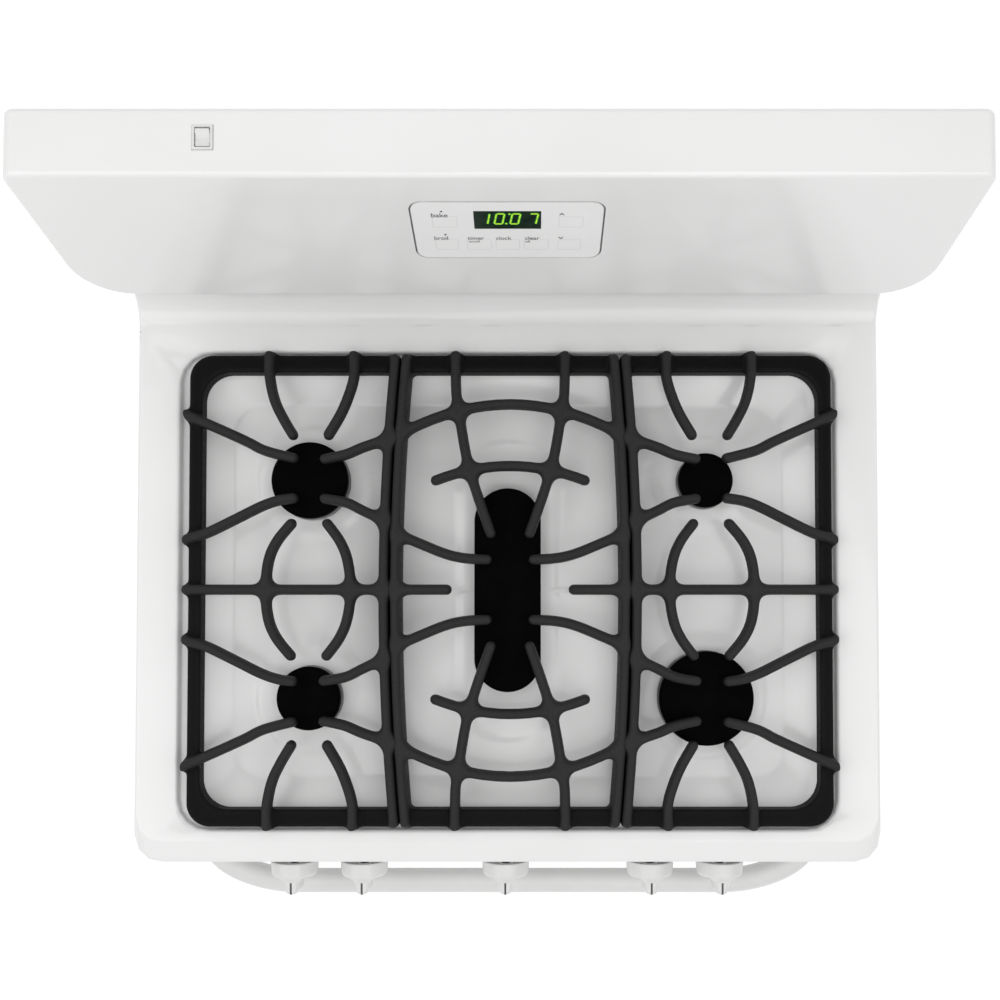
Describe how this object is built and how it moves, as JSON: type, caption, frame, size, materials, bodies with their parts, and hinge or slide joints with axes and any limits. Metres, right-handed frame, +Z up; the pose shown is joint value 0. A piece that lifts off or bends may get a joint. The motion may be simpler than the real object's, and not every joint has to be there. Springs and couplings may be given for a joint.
{
  "type": "freestanding gas range",
  "caption": "Freestanding gas range with sealed burners under cast grates, an oven with a drop-down door, a storage drawer and a sloping control console.",
  "frame": {"origin": "on the floor, under the centre of the bounding box", "axes": "+Z up, the longest extent; +Y towards the wall, the shortest extent; the front faces -Y and X runs along the width"},
  "size_m": [0.759, 0.7048, 1.1964],
  "materials": {
    "white_enamel": "gloss white porcelain enamel",
    "zinc_steel": "galvanised sheet and tube, satin",
    "oven_enamel": "dark speckled oven enamel, semi-gloss",
    "iron": "matte black porcelain coated casting",
    "cap_enamel": "smooth matte black enamel",
    "burner_aluminium": "cast, satin",
    "knob_plastic": "white, semi-gloss",
    "stem_steel": "dark plated",
    "leg_steel": "zinc plated",
    "rack_chrome": "nickel plated wire",
    "door_glass": "dark printed tempered glass",
    "lamp_glass": "clear ribbed cover",
    "display_glass": "dark green filter window",
    "overlay_film": "white printed membrane keypad",
    "circuit_board": "green laminate",
    "seal": "woven fibre look"
  },
  "bodies": {
    "range_body": {"back_panel": "zinc_steel", "backguard_riser": "white_enamel", "bake_burner": "zinc_steel", "base_pan": "zinc_steel", "broil_burner": "zinc_steel", "burner_head_centre": "burner_aluminium", "burner_head_left_front": "burner_aluminium", "burner_head_left_rear": "burner_aluminium", "burner_head_right_front": "burner_aluminium", "burner_head_right_rear": "burner_aluminium", "console_shell": "white_enamel", "control_board": "circuit_board", "control_overlay": "overlay_film", "cooktop": "white_enamel", "display_window": "display_glass", "door_gasket": "seal", "door_hinge_left": "zinc_steel", "door_hinge_right": "zinc_steel", "gas_manifold": "zinc_steel", "light_switch_housing": "knob_plastic", "oven_floor_panel": "oven_enamel", "oven_lamp": "lamp_glass", "oven_liner": "oven_enamel", "pressure_regulator": "burner_aluminium", "rear_cover": "zinc_steel", "side_panel_left": "white_enamel", "side_panel_right": "white_enamel", "valve_panel": "white_enamel"},
    "door": {"door_outer_panel": "white_enamel", "door_liner": "oven_enamel", "door_outer_glass": "door_glass", "door_inner_glass": "door_glass", "door_handle": "white_enamel"},
    "drawer": {"drawer_front": "white_enamel", "drawer_box": "zinc_steel"},
    "rack_lower": {"oven_rack_lower": "rack_chrome"},
    "rack_upper": {"oven_rack_upper": "rack_chrome"},
    "grate_left": {"grate_left": "iron"},
    "grate_middle": {"grate_middle": "iron"},
    "grate_right": {"grate_right": "iron"},
    "cap_left_rear": {"burner_cap_left_rear": "cap_enamel"},
    "cap_left_front": {"burner_cap_left_front": "cap_enamel"},
    "cap_right_rear": {"burner_cap_right_rear": "cap_enamel"},
    "cap_right_front": {"burner_cap_right_front": "cap_enamel"},
    "cap_centre": {"burner_cap_centre": "cap_enamel"},
    "valve_left_front": {"valve_stem_left_front": "stem_steel"},
    "knob_left_front": {"knob_left_front": "knob_plastic"},
    "valve_left_rear": {"valve_stem_left_rear": "stem_steel"},
    "knob_left_rear": {"knob_left_rear": "knob_plastic"},
    "valve_centre": {"valve_stem_centre": "stem_steel"},
    "knob_centre": {"knob_centre": "knob_plastic"},
    "valve_right_rear": {"valve_stem_right_rear": "stem_steel"},
    "knob_right_rear": {"knob_right_rear": "knob_plastic"},
    "valve_right_front": {"valve_stem_right_front": "stem_steel"},
    "knob_right_front": {"knob_right_front": "knob_plastic"},
    "leg_front_left": {"levelling_leg_front_left": "leg_steel"},
    "leg_front_right": {"levelling_leg_front_right": "leg_steel"},
    "leg_rear_left": {"levelling_leg_rear_left": "leg_steel"},
    "leg_rear_right": {"levelling_leg_rear_right": "leg_steel"},
    "rocker": {"light_switch_rocker": "knob_plastic"}
  },
  "joints": [
    {"name": "door_hinge", "type": "hinge", "parent": "range_body", "child": "door", "pos_m": [0, -0.264, 0.246], "axis": [1, 0, 0], "range_deg": [0, 90], "stiffness_Nm_per_rad": 11, "springref_deg": -11.46},
    {"name": "drawer_slide", "type": "slide", "parent": "range_body", "child": "drawer", "axis": [0, -1, 0], "range_m": [0, 0.36]},
    {"name": "rack_lower_slide", "type": "slide", "parent": "range_body", "child": "rack_lower", "axis": [0, -1, 0], "range_m": [0, 0.236]},
    {"name": "rack_upper_slide", "type": "slide", "parent": "range_body", "child": "rack_upper", "axis": [0, -1, 0], "range_m": [0, 0.2989]},
    {"name": "grate_left_lift", "type": "slide", "parent": "range_body", "child": "grate_left", "axis": [0, 0, 1], "range_m": [0, 0.12]},
    {"name": "grate_middle_lift", "type": "slide", "parent": "range_body", "child": "grate_middle", "axis": [0, 0, 1], "range_m": [0, 0.12]},
    {"name": "grate_right_lift", "type": "slide", "parent": "range_body", "child": "grate_right", "axis": [0, 0, 1], "range_m": [0, 0.12]},
    {"name": "cap_left_rear_lift", "type": "slide", "parent": "range_body", "child": "cap_left_rear", "axis": [0, 0, 1], "range_m": [0, 0.009]},
    {"name": "cap_left_front_lift", "type": "slide", "parent": "range_body", "child": "cap_left_front", "axis": [0, 0, 1], "range_m": [0, 0.009]},
    {"name": "cap_right_rear_lift", "type": "slide", "parent": "range_body", "child": "cap_right_rear", "axis": [0, 0, 1], "range_m": [0, 0.009]},
    {"name": "cap_right_front_lift", "type": "slide", "parent": "range_body", "child": "cap_right_front", "axis": [0, 0, 1], "range_m": [0, 0.009]},
    {"name": "cap_centre_lift", "type": "slide", "parent": "range_body", "child": "cap_centre", "axis": [0, 0, 1], "range_m": [0, 0.009]},
    {"name": "valve_left_front_turn", "type": "hinge", "parent": "range_body", "child": "valve_left_front", "pos_m": [-0.227, -0.2618, 0.857], "axis": [0, -1, 0], "range_deg": [0, 240]},
    {"name": "knob_left_front_push", "type": "slide", "parent": "valve_left_front", "child": "knob_left_front", "axis": [0, 1, 0], "range_m": [0, 0.003], "stiffness_N_per_m": 1500, "springref_m": -0.002},
    {"name": "valve_left_rear_turn", "type": "hinge", "parent": "range_body", "child": "valve_left_rear", "pos_m": [-0.153, -0.2618, 0.857], "axis": [0, -1, 0], "range_deg": [0, 240]},
    {"name": "knob_left_rear_push", "type": "slide", "parent": "valve_left_rear", "child": "knob_left_rear", "axis": [0, 1, 0], "range_m": [0, 0.003], "stiffness_N_per_m": 1500, "springref_m": -0.002},
    {"name": "valve_centre_turn", "type": "hinge", "parent": "range_body", "child": "valve_centre", "pos_m": [-0.003, -0.2618, 0.857], "axis": [0, -1, 0], "range_deg": [0, 240]},
    {"name": "knob_centre_push", "type": "slide", "parent": "valve_centre", "child": "knob_centre", "axis": [0, 1, 0], "range_m": [0, 0.003], "stiffness_N_per_m": 1500, "springref_m": -0.002},
    {"name": "valve_right_rear_turn", "type": "hinge", "parent": "range_body", "child": "valve_right_rear", "pos_m": [0.15, -0.2618, 0.857], "axis": [0, -1, 0], "range_deg": [0, 240]},
    {"name": "knob_right_rear_push", "type": "slide", "parent": "valve_right_rear", "child": "knob_right_rear", "axis": [0, 1, 0], "range_m": [0, 0.003], "stiffness_N_per_m": 1500, "springref_m": -0.002},
    {"name": "valve_right_front_turn", "type": "hinge", "parent": "range_body", "child": "valve_right_front", "pos_m": [0.224, -0.2618, 0.857], "axis": [0, -1, 0], "range_deg": [0, 240]},
    {"name": "knob_right_front_push", "type": "slide", "parent": "valve_right_front", "child": "knob_right_front", "axis": [0, 1, 0], "range_m": [0, 0.003], "stiffness_N_per_m": 1500, "springref_m": -0.002},
    {"name": "leg_front_left_turn", "type": "hinge", "parent": "range_body", "child": "leg_front_left", "pos_m": [-0.33, -0.2, 0], "axis": [0, 0, 1], "range_deg": [0, 360]},
    {"name": "leg_front_right_turn", "type": "hinge", "parent": "range_body", "child": "leg_front_right", "pos_m": [0.33, -0.2, 0], "axis": [0, 0, 1], "range_deg": [0, 360]},
    {"name": "leg_rear_left_turn", "type": "hinge", "parent": "range_body", "child": "leg_rear_left", "pos_m": [-0.33, 0.29, 0], "axis": [0, 0, 1], "range_deg": [0, 360]},
    {"name": "leg_rear_right_turn", "type": "hinge", "parent": "range_body", "child": "leg_rear_right", "pos_m": [0.33, 0.29, 0], "axis": [0, 0, 1], "range_deg": [0, 360]},
    {"name": "light_switch_tilt", "type": "hinge", "parent": "range_body", "child": "rocker", "pos_m": [-0.2248, 0.327, 1.192], "axis": [-1, 0, 0], "range_deg": [0, 14]}
  ],
  "couplings": [
    {"joint": "rack_lower_slide", "follows": "door_hinge", "m_per_rad": 0.15},
    {"joint": "rack_upper_slide", "follows": "door_hinge", "m_per_rad": 0.19}
  ]
}
